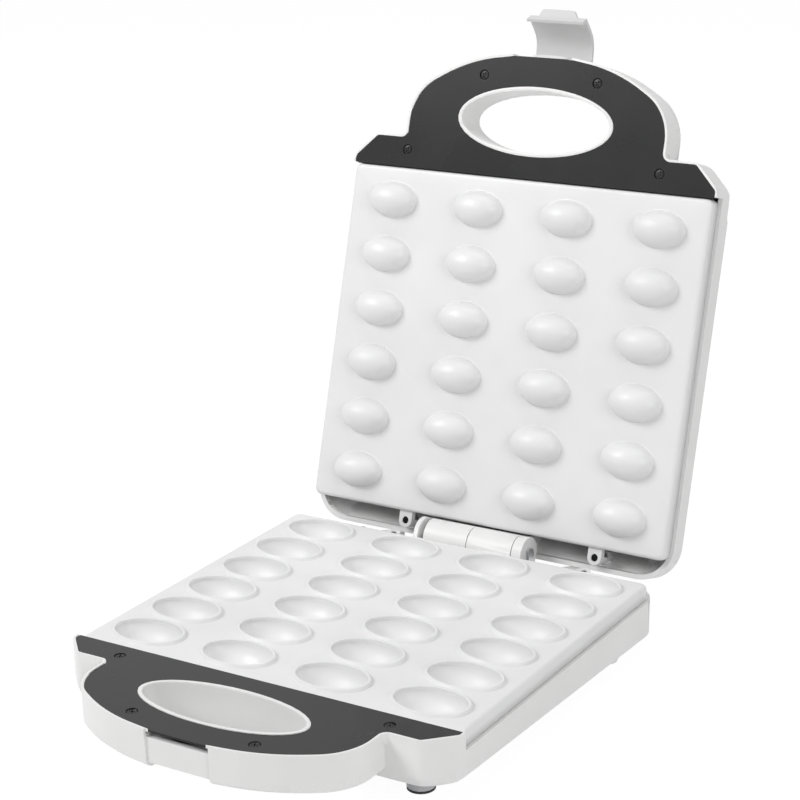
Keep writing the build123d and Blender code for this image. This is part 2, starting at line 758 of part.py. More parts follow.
lid_nodes = {}
lid_nodes["lid_housing"] = make_lid_housing()
lid_nodes["lid_handle_panel"] = make_panel(1)
lid_nodes["upper_plate"] = make_plate(1)
lid_nodes["upper_heating_element"] = heating_element(upper_element_z)
lid_nodes["upper_element_clamps"] = group(element_clamps(upper_element_z, 1))
lid_nodes["upper_reflector"] = reflector(upper_reflector_z, 1)
lid_nodes["upper_thermostat"] = thermostat(0, row_pitch / 2, closing_gap + plate_thickness, 1)
lid_nodes["thermal_fuse"] = thermal_fuse()
lid_nodes["power_lamp_lens"] = lamp_lens(-1)
lid_nodes["ready_lamp_lens"] = lamp_lens(1)
lid_nodes["lamp_holder"] = lamp_holder()
lid_nodes["latch"] = make_latch()
lid_nodes["latch_pin"] = rod_x(-18.4, 18.4, latch_y, latch_z, latch_pin_radius)

# The lid stands open at rest.
hinge_axis = Axis((0, hinge_y, hinge_z), (1, 0, 0))
for name, shape in lid_nodes.items():
    nodes[name] = shape.rotate(hinge_axis, -lid_open_angle)

# The frame origin is the middle of the resting footprint, at the height of the feet.
boxes = [shape.bounding_box() for shape in nodes.values()]
dx = -(min(b.min.X for b in boxes) + max(b.max.X for b in boxes)) / 2
dy = -(min(b.min.Y for b in boxes) + max(b.max.Y for b in boxes)) / 2
dz = -min(b.min.Z for b in boxes)
shift = Pos(dx, dy, dz)
os.makedirs("parts", exist_ok=True)
for name, shape in nodes.items():
    export_step(shift * shape, "parts/" + name + ".step")

print("frame shift mm", round(dx, 3), round(dy, 3), round(dz, 3))
print("lid hinge mm", round(dx, 3), round(hinge_y + dy, 3), round(hinge_z + dz, 3))
turn = math.radians(-lid_open_angle)
ly = hinge_y + (latch_y - hinge_y) * math.cos(turn) - (latch_z - hinge_z) * math.sin(turn)
lz = hinge_z + (latch_y - hinge_y) * math.sin(turn) + (latch_z - hinge_z) * math.cos(turn)
print("latch hinge mm", round(dx, 3), round(ly + dy, 3), round(lz + dz, 3))
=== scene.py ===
# %% [markdown]
# # A nut waffle maker, lid open
# The imported CAD model comes in as a fixed frame. Everything made here sits on that frame, so the
# first step only loads it.

# %% Load the frame
import json
import math

import bmesh
import bpy
from mathutils import Matrix, Vector

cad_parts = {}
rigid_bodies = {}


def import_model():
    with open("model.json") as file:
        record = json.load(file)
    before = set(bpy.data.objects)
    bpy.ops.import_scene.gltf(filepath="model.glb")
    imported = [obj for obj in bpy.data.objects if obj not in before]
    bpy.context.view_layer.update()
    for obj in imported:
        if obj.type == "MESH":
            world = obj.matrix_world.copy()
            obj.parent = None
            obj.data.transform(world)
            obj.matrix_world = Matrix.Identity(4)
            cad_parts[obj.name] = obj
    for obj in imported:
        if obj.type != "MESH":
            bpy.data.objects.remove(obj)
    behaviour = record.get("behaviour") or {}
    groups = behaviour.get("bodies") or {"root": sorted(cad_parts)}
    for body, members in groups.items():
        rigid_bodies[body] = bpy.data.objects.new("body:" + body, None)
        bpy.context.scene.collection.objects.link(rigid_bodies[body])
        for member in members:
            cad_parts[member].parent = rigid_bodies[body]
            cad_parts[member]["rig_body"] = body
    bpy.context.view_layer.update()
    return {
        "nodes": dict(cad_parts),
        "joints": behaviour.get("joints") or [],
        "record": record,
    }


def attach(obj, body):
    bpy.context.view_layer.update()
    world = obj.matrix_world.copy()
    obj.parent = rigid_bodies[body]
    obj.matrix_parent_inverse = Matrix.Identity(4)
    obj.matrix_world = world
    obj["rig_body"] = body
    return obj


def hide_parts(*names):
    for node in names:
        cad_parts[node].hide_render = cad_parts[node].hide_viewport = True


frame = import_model()
nodes = frame["nodes"]

# %% [markdown]
# The maker's drawing has its origin at the middle of the mould pattern, where the closed plates
# meet, in millimetres. Two small helpers turn a point of that drawing into the row frame, for the
# base and for the lid, which stands open at rest. The hinge and its angle come from the record.

# %% From the drawing to the frame
drawing_shift = Vector((0, -0.028886, 0.0424))
hinge = next(j for j in frame["joints"] if j["name"] == "lid_hinge")
hinge_point = Vector(hinge["pos_m"])
open_angle = math.radians(hinge["range_deg"][1])
base_place = Matrix.Translation(drawing_shift) @ Matrix.Scale(0.001, 4)
lid_turn = (Matrix.Translation(hinge_point) @ Matrix.Rotation(-open_angle, 4, "X")
            @ Matrix.Translation(-hinge_point))
lid_place = lid_turn @ base_place
print("hinge", tuple(round(v, 4) for v in hinge_point), "opens", round(math.degrees(open_angle), 1))

# %% [markdown]
# Several pieces share sizes of the drawing: how far the mould plates reach, how high each face
# lies, where the grip opening, the latch recess and the screws are. They are named once, in
# millimetres, with z = 0 where the closed plates meet.

# %% Shared sizes
plate_half_width, plate_half_depth = 119.4, 103.2
lower_plate_level, upper_plate_level = -1.8, 0.3
base_trim_level, lid_trim_level = -1.5, 0.6
base_rim_level, lid_rim_level = -10.8, 9.0
grip_y, grip_half_length, grip_half_width = -137.4, 49.3, 18.3
recess_y = -175.3
outer_shoulder, inner_shoulder, handle_tip = (84.9, -149.4), (48.4, -170.7), (0.0, -177.7)
neck = (84.9, -121.4)
screw_places = [(84.2, -114.2), (37.6, -162.7), (-84.2, -114.2), (-37.6, -162.7)]
lug_xs, lug_y = (-53.5, 75.0), 109
print("mould plates", 2 * plate_half_width, "by", 2 * plate_half_depth, "mm")

# %% [markdown]
# The camera is set up as in the picture: a long lens, looking down a little from the right front.
# Its turn is written as three axes, which keeps the slight roll of the picture. Its place is given
# in the drawing's millimetres.

# %% Camera
camera_spot = Vector((608.7, -922.2, 484.6))
azimuth, elevation, roll = math.radians(32.40), math.radians(18.32), math.radians(-1.78)
back = Vector((math.sin(azimuth) * math.cos(elevation), -math.cos(azimuth) * math.cos(elevation),
               math.sin(elevation)))
right = Vector((math.cos(azimuth), math.sin(azimuth), 0))
up = back.cross(right)
tilted_right = right * math.cos(roll) + up * math.sin(roll)
tilted_up = up * math.cos(roll) - right * math.sin(roll)
camera_data = bpy.data.cameras.new("camera")
camera_data.lens = 98.2
camera_data.sensor_width = 36
camera = bpy.data.objects.new("camera", camera_data)
bpy.context.scene.collection.objects.link(camera)
turn = Matrix((tilted_right, tilted_up, back)).transposed().to_4x4()
camera.matrix_world = Matrix.Translation(base_place @ camera_spot) @ turn
bpy.context.scene.camera = camera
print("camera", tuple(round(v, 3) for v in camera.location))

# %% [markdown]
# Soft studio light: one broad lamp high on the left, a weaker one on the right, one overhead and an
# even pale world. Large lamps give the long soft shades that show round forms in white plastic.

# %% Lamps and world
def soft_lamp(name, place, aim, size, power):
    data = bpy.data.lights.new(name, "AREA")
    data.shape = "RECTANGLE"
    data.size, data.size_y = size
    data.energy = power
    lamp = bpy.data.objects.new(name, data)
    bpy.context.scene.collection.objects.link(lamp)
    lamp.location = place
    lamp.rotation_euler = (Vector(aim) - Vector(place)).to_track_quat("-Z", "Y").to_euler()


soft_lamp("key_lamp", (-1.4, -1.3, 1.7), (0, 0, 0.1), (1.2, 1.0), 33)
soft_lamp("side_lamp", (1.8, -0.9, 0.9), (0, 0, 0.1), (1.0, 0.9), 13)
soft_lamp("top_lamp", (0.1, 0.3, 2.0), (0, 0, 0), (1.6, 1.2), 10)

world = bpy.data.worlds.new("studio")
bpy.context.scene.world = world
world.use_nodes = True
world_nodes = world.node_tree.nodes
world_links = world.node_tree.links
world_nodes.clear()
world_out = world_nodes.new("ShaderNodeOutputWorld")
world_mix = world_nodes.new("ShaderNodeMixShader")


def white_background(strength):
    background = world_nodes.new("ShaderNodeBackground")
    background.inputs["Color"].default_value = (1, 1, 1, 1)
    background.inputs["Strength"].default_value = strength
    return background


ambient = white_background(0.34)
backdrop = white_background(1.0)


def seen_rays(tree):
    """1 for rays that show the background: from the camera, a reflection or clear plastic."""
    path = tree.nodes.new("ShaderNodeLightPath")
    first = tree.nodes.new("ShaderNodeMath")
    first.operation = "MAXIMUM"
    second = tree.nodes.new("ShaderNodeMath")
    second.operation = "MAXIMUM"
    tree.links.new(path.outputs["Is Camera Ray"], first.inputs[0])
    tree.links.new(path.outputs["Is Glossy Ray"], first.inputs[1])
    tree.links.new(first.outputs[0], second.inputs[0])
    tree.links.new(path.outputs["Is Transmission Ray"], second.inputs[1])
    return second.outputs[0]


world_links.new(seen_rays(world.node_tree), world_mix.inputs[0])
world_links.new(ambient.outputs[0], world_mix.inputs[1])
world_links.new(backdrop.outputs[0], world_mix.inputs[2])
world_links.new(world_mix.outputs[0], world_out.inputs[0])
bpy.context.scene.view_settings.view_transform = "Standard"

# %% [markdown]
# The floor is a wide pale sheet. The camera sees it almost as plain white, and a small share of
# real shading keeps the shadow of the object.

# %% Floor
floor_reach, floor_drop = 14, 0.0002
white_share = 0.9
floor_mesh = bpy.data.meshes.new("floor")
floor_form = bmesh.new()
bmesh.ops.create_grid(floor_form, x_segments=2, y_segments=2, size=floor_reach)
floor_form.to_mesh(floor_mesh)
floor_form.free()
floor = bpy.data.objects.new("floor", floor_mesh)
bpy.context.scene.collection.objects.link(floor)
floor.location.z = -floor_drop
floor_material = bpy.data.materials.new("floor_paper")
floor_material.use_nodes = True
tree = floor_material.node_tree
tree.nodes.clear()
floor_out = tree.nodes.new("ShaderNodeOutputMaterial")
floor_mix = tree.nodes.new("ShaderNodeMixShader")
paper = tree.nodes.new("ShaderNodeBsdfDiffuse")
paper.inputs["Color"].default_value = (0.86, 0.86, 0.86, 1)
glow = tree.nodes.new("ShaderNodeEmission")
glow.inputs["Strength"].default_value = 1.06
share = tree.nodes.new("ShaderNodeMath")
share.operation = "MULTIPLY"
share.inputs[1].default_value = white_share
tree.links.new(seen_rays(tree), share.inputs[0])
tree.links.new(share.outputs[0], floor_mix.inputs[0])
tree.links.new(paper.outputs[0], floor_mix.inputs[1])
tree.links.new(glow.outputs[0], floor_mix.inputs[2])
tree.links.new(floor_mix.outputs[0], floor_out.inputs[0])
floor_mesh.materials.append(floor_material)
print("floor", floor.name)

# %% [markdown]
# Finishes that several materials share are node groups. The first gives the height of the fine
# spark-eroded grain of moulded plastic, the second lets a colour drift a little over the surface,
# as real plastic does, and the third finds edges, where handling polishes or rubs a surface. It
# compares the true normal with one that is softened over a short reach.

# %% Shared finish groups
edge_reach = 0.0009
grain_strength = 0.35


def new_group(name, inputs, outputs):
    group = bpy.data.node_groups.new(name, "ShaderNodeTree")
    for kind, label, value in inputs:
        socket = group.interface.new_socket(label, in_out="INPUT", socket_type=kind)
        socket.default_value = value
    for kind, label in outputs:
        group.interface.new_socket(label, in_out="OUTPUT", socket_type=kind)
    enter = group.nodes.new("NodeGroupInput")
    leave = group.nodes.new("NodeGroupOutput")
    return group, enter, leave


def moulded_grain_group():
    group, enter, leave = new_group("moulded_grain", [("NodeSocketFloat", "Scale", 2600.0)],
                                    [("NodeSocketFloat", "Height")])
    place = group.nodes.new("ShaderNodeTexCoord")
    fine = group.nodes.new("ShaderNodeTexNoise")
    fine.inputs["Detail"].default_value = 3
    fine.inputs["Roughness"].default_value = 0.6
    group.links.new(place.outputs["Object"], fine.inputs["Vector"])
    group.links.new(enter.outputs["Scale"], fine.inputs["Scale"])
    group.links.new(fine.outputs["Fac"], leave.inputs["Height"])
    return group


def colour_drift_group():
    group, enter, leave = new_group(
        "colour_drift",
        [("NodeSocketColor", "Colour", (1, 1, 1, 1)), ("NodeSocketColor", "Drifted", (1, 1, 1, 1)),
         ("NodeSocketFloat", "Scale", 18.0)],
        [("NodeSocketColor", "Colour"), ("NodeSocketFloat", "Mask")])
    place = group.nodes.new("ShaderNodeTexCoord")
    cloud = group.nodes.new("ShaderNodeTexNoise")
    cloud.inputs["Detail"].default_value = 4
    spread = group.nodes.new("ShaderNodeMapRange")
    spread.inputs["From Min"].default_value = 0.35
    spread.inputs["From Max"].default_value = 0.65
    mix = group.nodes.new("ShaderNodeMix")
    mix.data_type = "RGBA"
    group.links.new(place.outputs["Object"], cloud.inputs["Vector"])
    group.links.new(enter.outputs["Scale"], cloud.inputs["Scale"])
    group.links.new(cloud.outputs["Fac"], spread.inputs["Value"])
    group.links.new(spread.outputs["Result"], mix.inputs["Factor"])
    group.links.new(enter.outputs["Colour"], mix.inputs["A"])
    group.links.new(enter.outputs["Drifted"], mix.inputs["B"])
    group.links.new(mix.outputs["Result"], leave.inputs["Colour"])
    group.links.new(spread.outputs["Result"], leave.inputs["Mask"])
    return group


def edge_rub_group():
    group, enter, leave = new_group("edge_rub", [("NodeSocketFloat", "Amount", 0.3)],
                                    [("NodeSocketFloat", "Mask")])
    soft = group.nodes.new("ShaderNodeBevel")
    soft.samples = 4
    soft.inputs["Radius"].default_value = edge_reach
    shape = group.nodes.new("ShaderNodeNewGeometry")
    agree = group.nodes.new("ShaderNodeVectorMath")
    agree.operation = "DOT_PRODUCT"
    sharp = group.nodes.new("ShaderNodeMapRange")
    sharp.inputs["From Min"].default_value = 0.985
    sharp.inputs["From Max"].default_value = 0.8
    place = group.nodes.new("ShaderNodeTexCoord")
    patch = group.nodes.new("ShaderNodeTexNoise")
    patch.inputs["Scale"].default_value = 90
    both = group.nodes.new("ShaderNodeMath")
    both.operation = "MULTIPLY"
    scaled = group.nodes.new("ShaderNodeMath")
    scaled.operation = "MULTIPLY"
    group.links.new(soft.outputs["Normal"], agree.inputs[0])
    group.links.new(shape.outputs["Normal"], agree.inputs[1])
    group.links.new(agree.outputs["Value"], sharp.inputs["Value"])
    group.links.new(place.outputs["Object"], patch.inputs["Vector"])
    group.links.new(sharp.outputs["Result"], both.inputs[0])
    group.links.new(patch.outputs["Fac"], both.inputs[1])
    group.links.new(both.outputs[0], scaled.inputs[0])
    group.links.new(enter.outputs["Amount"], scaled.inputs[1])
    group.links.new(scaled.outputs[0], leave.inputs["Mask"])
    return group


moulded_grain = moulded_grain_group()
colour_drift = colour_drift_group()
edge_rub = edge_rub_group()
print("groups", [g.name for g in bpy.data.node_groups])

# %% [markdown]
# One recipe then serves most finishes: a base colour that drifts to a second one, a roughness
# range, a grain of given size and depth, and rubbed edges of another colour. Each real finish is a
# call with its own values: white satin housing, charcoal trim, coated plate, steel, rubber. The
# values come in that order: name, colour, drifted colour, roughness, grain scale, grain depth in
# metres, and then the colour and amount of rubbed edges.

# %% Material recipe
def finish(name, colour, drifted, roughness, grain, depth, rub_colour=None, rub=0.0, metallic=0.0,
           coat=0.0, drift_scale=18.0, mirror=0.5):
    material = bpy.data.materials.new(name)
    material.use_nodes = True
    tree = material.node_tree
    body = tree.nodes["Principled BSDF"]
    drift = tree.nodes.new("ShaderNodeGroup")
    drift.node_tree = colour_drift
    drift.inputs["Colour"].default_value = (*colour, 1)
    drift.inputs["Drifted"].default_value = (*drifted, 1)
    drift.inputs["Scale"].default_value = drift_scale
    grain_node = tree.nodes.new("ShaderNodeGroup")
    grain_node.node_tree = moulded_grain
    grain_node.inputs["Scale"].default_value = grain
    bump = tree.nodes.new("ShaderNodeBump")
    bump.inputs["Strength"].default_value = grain_strength
    bump.inputs["Distance"].default_value = depth
    tree.links.new(grain_node.outputs["Height"], bump.inputs["Height"])
    tree.links.new(bump.outputs["Normal"], body.inputs["Normal"])
    sheen = tree.nodes.new("ShaderNodeMapRange")
    sheen.inputs["To Min"].default_value = roughness[0]
    sheen.inputs["To Max"].default_value = roughness[1]
    tree.links.new(drift.outputs["Mask"], sheen.inputs["Value"])
    tree.links.new(sheen.outputs["Result"], body.inputs["Roughness"])
    body.inputs["Metallic"].default_value = metallic
    body.inputs["Specular IOR Level"].default_value = mirror
    body.inputs["Coat Weight"].default_value = coat
    colour_out = drift.outputs["Colour"]
    if rub_colour:
        rubbed = tree.nodes.new("ShaderNodeGroup")
        rubbed.node_tree = edge_rub
        rubbed.inputs["Amount"].default_value = rub
        mix = tree.nodes.new("ShaderNodeMix")
        mix.data_type = "RGBA"
        mix.inputs["B"].default_value = (*rub_colour, 1)
        tree.links.new(rubbed.outputs["Mask"], mix.inputs["Factor"])
        tree.links.new(drift.outputs["Colour"], mix.inputs["A"])
        colour_out = mix.outputs["Result"]
    tree.links.new(colour_out, body.inputs["Base Color"])
    return material


white_housing = finish("white_satin_housing", (0.80, 0.80, 0.795), (0.77, 0.77, 0.765), (0.34, 0.42),
                       2400, 0.00002, (0.86, 0.86, 0.86), 0.4)
charcoal_trim = finish("charcoal_trim", (0.009, 0.009, 0.0095), (0.012, 0.012, 0.0125), (0.26, 0.32),
                       3000, 0.00003, (0.05, 0.05, 0.05), 0.6, mirror=0.26)
coated_plate = finish("pale_plate_coating", (0.79, 0.79, 0.79), (0.755, 0.755, 0.755), (0.40, 0.5),
                      3400, 0.00003, (0.83, 0.83, 0.83), 0.3, coat=0.1)
latch_plastic = finish("latch_plastic", (0.66, 0.66, 0.66), (0.62, 0.62, 0.62), (0.30, 0.38),
                       2600, 0.00002, (0.72, 0.72, 0.72), 0.4)
# This black serves the screws, and also the lip in the slit beside each trim panel, where it is painted
# shade.
screw_black_and_painted_shade = finish("screw_black_and_painted_shade", (0.004, 0.004, 0.004), (0.008, 0.008, 0.008), (0.5, 0.6), 1800,
                     0.00002, (0.06, 0.06, 0.06), 0.9, mirror=0.08)
trim_screw = finish("trim_screw", (0.008, 0.008, 0.008), (0.014, 0.014, 0.014), (0.28, 0.38), 1800,
                    0.00002, (0.12, 0.12, 0.12), 0.9, mirror=0.24)
foot_plastic = finish("foot_plastic", (0.62, 0.62, 0.635), (0.58, 0.58, 0.6), (0.42, 0.5), 2600, 0.00002)
black_rubber = finish("black_rubber", (0.018, 0.018, 0.019), (0.026, 0.026, 0.027), (0.66, 0.8),
                      1500, 0.00008)
black_steel = finish("black_steel", (0.025, 0.025, 0.026), (0.04, 0.04, 0.042), (0.28, 0.4), 1800,
                     0.00002, (0.35, 0.35, 0.35), 0.8, metallic=0.6)
plated_steel = finish("plated_steel", (0.62, 0.63, 0.65), (0.55, 0.56, 0.58), (0.24, 0.34), 900,
                      0.00002, (0.8, 0.8, 0.8), 0.4, metallic=1.0)
element_tube = finish("element_tube", (0.30, 0.28, 0.26), (0.22, 0.18, 0.15), (0.42, 0.55), 1200,
                      0.00004, metallic=1.0, drift_scale=40)
mill_aluminium = finish("mill_aluminium", (0.72, 0.72, 0.73), (0.66, 0.66, 0.68), (0.34, 0.46), 700,
                        0.00003, metallic=1.0)
ceramic = finish("ceramic", (0.74, 0.71, 0.65), (0.70, 0.66, 0.58), (0.5, 0.62), 1500, 0.00004)
print("materials", len(bpy.data.materials))

# %% [markdown]
# The two lamp lenses are clear tinted plastic, so their colour comes from light that passes
# through, with a glossy face.

# %% Lens materials
def lens_finish(name, colour):
    material = bpy.data.materials.new(name)
    material.use_nodes = True
    tree = material.node_tree
    body = tree.nodes["Principled BSDF"]
    body.inputs["Transmission Weight"].default_value = 0.45
    body.inputs["IOR"].default_value = 1.49
    drift = tree.nodes.new("ShaderNodeGroup")
    drift.node_tree = colour_drift
    drift.inputs["Colour"].default_value = (*colour, 1)
    drift.inputs["Drifted"].default_value = (*[c * 0.8 for c in colour], 1)
    drift.inputs["Scale"].default_value = 300
    tree.links.new(drift.outputs["Colour"], body.inputs["Base Color"])
    body.inputs["Roughness"].default_value = 0.12
    return material


red_lens = lens_finish("red_lens", (0.55, 0.03, 0.02))
green_lens = lens_finish("green_lens", (0.03, 0.42, 0.10))
slot_finish = {
    "white_plastic": white_housing, "charcoal_plastic": charcoal_trim, "grey_plastic": latch_plastic,
    "blackened_steel": black_steel, "zinc_steel": plated_steel, "element_sheath": element_tube,
    "coated_plate": coated_plate, "sheet_aluminium": mill_aluminium, "ceramic_body": ceramic,
    "dark_rubber": black_rubber, "red_lens": red_lens, "green_lens": green_lens,
}
slot_of = {s["node"]: s["material_slot"] for s in frame["record"]["subparts"]}
for name, node in nodes.items():
    node.data.materials.clear()
    node.data.materials.append(slot_finish[slot_of[name]])
print("dressed", len(nodes), "nodes")

# %% [markdown]
# Moulded parts never have knife edges. Where the CAD form is right but its edges are bare, a copy
# of the node is merged into one skin, its flat areas are joined, and every sharp edge gets a small
# round. The copy then stands for the node. It is worked on in the drawing's millimetres.

# %% Copies of CAD nodes
weld_distance = 0.002
flat_angle = math.radians(0.6)


def new_piece(name, form, material, body):
    mesh = bpy.data.meshes.new(name)
    form.to_mesh(mesh)
    form.free()
    piece = bpy.data.objects.new(name, mesh)
    bpy.context.scene.collection.objects.link(piece)
    mesh.materials.append(material)
    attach(piece, body)
    return piece


def shade(piece, degrees=50):
    piece.data.shade_smooth()
    piece.data.set_sharp_from_angle(angle=math.radians(degrees))
    steady = piece.modifiers.new("steady_normals", "WEIGHTED_NORMAL")
    steady.keep_sharp = True


def merged_copy(node, place):
    form = bmesh.new()
    form.from_mesh(nodes[node].data)
    bmesh.ops.transform(form, verts=form.verts, matrix=place.inverted())
    bmesh.ops.remove_doubles(form, verts=form.verts, dist=weld_distance)
    bmesh.ops.dissolve_degenerate(form, edges=form.edges, dist=weld_distance)
    bmesh.ops.dissolve_limit(form, angle_limit=flat_angle, verts=form.verts, edges=form.edges)
    return form


def round_edges(form, width, sharper=35, shortest=1.2):
    edges = [e for e in form.edges if e.is_manifold and e.calc_length() > shortest
             and e.calc_face_angle(0) > math.radians(sharper)]
    bmesh.ops.bevel(form, geom=edges, offset=width, offset_type="OFFSET", segments=2,
                    profile=0.5, affect="EDGES", clamp_overlap=True, material=-1)
    return len(edges)


# %% [markdown]
# The CAD export shows each arc as a few straight steps. Every outline of the shells and trims is
# an offset of one line with round corners, so all their arcs share a few centres. An edge whose
# two ends lie at one distance from such a centre is split, and the new point moves out to that
# distance. Two rounds of this give the handle its smooth sweep. The oval grip is done alike, and
# the flat latch recess is left as it is.

# %% Arcs made smooth
outer_radius, inner_radius = 17.5, 66.0
outline = [(119.9, 115.7, 20.0), (119.9, -107.8, 2.5), (106.2, -121.4, 2.5), (*neck, 5.0),
           (*outer_shoulder, outer_radius), (*inner_shoulder, inner_radius), (*handle_tip, 130.0)]
outline += [(-x, y, r) for x, y, r in reversed(outline[:-1])]
smallest_radius, least_reach, shortest_chord = 4, 3, 1.0
arc_tolerance, oval_tolerance = 0.05, 0.004
widest_step = 0.5
level_normal = 0.9995


def arc_centres(corners):
    """Centre, direction to the middle of the arc and half its sweep, for each larger corner."""
    found = []
    for index, (x, y, radius) in enumerate(corners):
        if radius < smallest_radius:
            continue
        corner = Vector((x, y))
        to_last = (Vector(corners[index - 1][:2]) - corner).normalized()
        to_next = (Vector(corners[(index + 1) % len(corners)][:2]) - corner).normalized()
        half = to_last.angle(to_next) / 2
        inward = (to_last + to_next).normalized()
        found.append((corner + inward * (radius / math.sin(half)), -inward, math.pi / 2 - half))
    return found


centres = arc_centres(outline)
grip_ovals = [(grip_half_length + grow, grip_half_width + grow) for grow in (0, 2.2, 2.45)]
grip_centre = Vector((0, grip_y))


def moved_to_curve(first, second, ovals):
    """Where the middle of an edge belongs, or nothing if the edge is on no known curve."""
    a, b = Vector(first[:2]), Vector(second[:2])
    in_recess = abs(a.y - recess_y) < arc_tolerance and abs(b.y - recess_y) < arc_tolerance
    if in_recess or (a - b).length < shortest_chord:
        return None
    middle = (a + b) / 2
    for centre, outward, sweep in centres:
        u, v = a - centre, b - centre
        if abs(u.length - v.length) < arc_tolerance and u.length > least_reach:
            if max(u.angle(outward), v.angle(outward)) < sweep + 0.01 and u.angle(v) < widest_step:
                return centre + (middle - centre).normalized() * u.length
    for half_length, half_width in ovals:
        u, v, m = [Vector(((p.x - grip_centre.x) / half_length, (p.y - grip_centre.y) / half_width))
                   for p in (a, b, middle)]
        if abs(u.length - 1) < oval_tolerance and abs(v.length - 1) < oval_tolerance:
            m.normalize()
            return grip_centre + Vector((m.x * half_length, m.y * half_width))
    return None


def join_across(form, fresh):
    """Joins new points of the walls in pairs, and leaves the flat faces whole."""
    form.normal_update()
    flat = [f for f in form.faces if abs(f.normal.z) > level_normal]
    bmesh.ops.connect_verts(form, verts=fresh, faces_exclude=flat, check_degenerate=True)


def smooth_arcs(form, ovals=()):
    moved = 0
    for _ in range(2):
        fresh = []
        for edge in list(form.edges):
            place = moved_to_curve(edge.verts[0].co, edge.verts[1].co, ovals)
            if place is not None:
                vert = bmesh.utils.edge_split(edge, edge.verts[0], 0.5)[1]
                vert.co.x, vert.co.y = place
                fresh.append(vert)
        join_across(form, fresh)
        moved += len(fresh)
    return moved


# %% [markdown]
# The handle's two shoulders on each side are drawn a little tight. On the real maker they sweep
# round in longer curves, 30 and 100 mm instead of 17.5 and 66 mm, inside the same straight sides.
# Long straight edges there are divided first. Each point near such a corner then moves toward the
# longer curve's centre by the room between the two curves, and points further inside stay.

# %% Longer shoulder curves
eased_outer_radius, eased_inner_radius = 30, 100
longest_straight, near_outline = 2.5, 8
still_depth, blend_depth = 20, 12


def shoulder(point, last, following, short, long):
    corner = Vector(point)
    to_last = (Vector(last) - corner).normalized()
    to_next = (Vector(following) - corner).normalized()
    half = to_last.angle(to_next) / 2
    inward = (to_last + to_next).normalized()
    return (corner + inward * (long / math.sin(half)), -inward, math.pi / 2 - half, short, long,
            (long - short) / math.sin(half))


shoulders = []
for sign in (1, -1):
    start, outer, inner = [(x * sign, y) for x, y in (neck, outer_shoulder, inner_shoulder)]
    shoulders.append(shoulder(outer, start, inner, outer_radius, eased_outer_radius))
    shoulders.append(shoulder(inner, outer, handle_tip, inner_radius, eased_inner_radius))


def near_shoulder(point):
    """Centre, ray to the point, reach of the drawn outline and of the longer curve, if one is near."""
    for centre, outward, sweep, short, long, apart in shoulders:
        ray = point - centre
        tilt = ray.angle(outward)
        if tilt < sweep:
            on_side = long / math.cos(sweep - tilt)
            aside = apart * math.sin(tilt)
            on_arc = apart * math.cos(tilt) + math.sqrt(max(0, short ** 2 - aside ** 2))
            lean = math.asin(min(1, on_arc * math.sin(tilt) / short))
            return centre, ray, (on_arc if lean < sweep else on_side), long
    return None


def crosses_shoulder(a, b):
    """Whether an edge runs close to the drawn outline at a shoulder, anywhere along it."""
    for share in (0.5, 0.1, 0.9):
        found = near_shoulder(a.lerp(b, share))
        if found and abs(found[1].length - found[2]) < near_outline:
            return True
    return False


def ease_shoulders(form):
    for _ in range(4):
        fresh = []
        for edge in list(form.edges):
            a, b = Vector(edge.verts[0].co[:2]), Vector(edge.verts[1].co[:2])
            if (a - b).length > longest_straight and crosses_shoulder(a, b):
                fresh.append(bmesh.utils.edge_split(edge, edge.verts[0], 0.5)[1])
        join_across(form, fresh)
    for vert in form.verts:
        found = near_shoulder(Vector(vert.co[:2]))
        if found:
            centre, ray, drawn, long = found
            share = max(0.0, min(1.0, (ray.length - drawn + still_depth) / blend_depth))
            vert.co.xy = centre + ray * (1 - share * (drawn - long) / ray.length)


# %% [markdown]
# The shells' front corners are drawn with a plain slanted cut, but in plastic they run together
# like the corner of a cushion. The faces round such a corner are divided and relaxed, while the
# rim above keeps its crisp slant.

# %% Soft front corners
corner_start = 92
crisp_band = 2.0
outward_tilt = 0.25
largest_cell, relax_turns = 1.5, 14


def soft_corners(form, side, rim):
    """Relaxes the outer faces of both front corners, side being -1 for the base and 1 for the lid."""
    def in_region(co, more=0.0):
        return (abs(co.x) > corner_start - more and co.y < more - corner_start
                and (co.z - rim) * side > crisp_band - more)

    def is_outer(face):
        n = face.normal
        c = face.calc_center_median()
        return max(n.x * math.copysign(1, c.x), -n.y, n.z * side) > outward_tilt

    def corner_patch():
        return [f for f in form.faces if is_outer(f) and all(in_region(v.co, 0.01) for v in f.verts)]

    borders = (((corner_start, 0, 0), (1, 0, 0)), ((-corner_start, 0, 0), (1, 0, 0)),
               ((0, -corner_start, 0), (0, 1, 0)), ((0, 0, rim + side * crisp_band), (0, 0, 1)))
    for plane, normal in borders:
        near = [f for f in form.faces if is_outer(f) and any(in_region(v.co, 40) for v in f.verts)]
        geom = list({g for f in near for g in list(f.verts) + list(f.edges)}) + near
        bmesh.ops.bisect_plane(form, geom=geom, dist=0.0005, plane_co=plane, plane_no=normal)
    patch = bmesh.ops.triangulate(form, faces=corner_patch())["faces"]
    for _ in range(3):
        edges = list({e for f in patch for e in f.edges if e.calc_length() > largest_cell})
        bmesh.ops.subdivide_edges(form, edges=edges, cuts=1, use_grid_fill=True)
        patch = corner_patch()
    kept = set(patch)
    inner = [v for v in {v for f in patch for v in f.verts} if all(f in kept for f in v.link_faces)]
    for _ in range(relax_turns):
        bmesh.ops.smooth_vert(form, verts=inner, factor=0.5, use_axis_x=True, use_axis_y=True,
                              use_axis_z=True)
    return len(inner)


# %% [markdown]
# Now the two shells, which are injection moulded, and the small parts that need nothing but rounded
# edges. The shells get smooth arcs, longer shoulders and soft corners before their edges are rounded.

# %% Shells, feet, hinge and latch
edge_round = 0.35


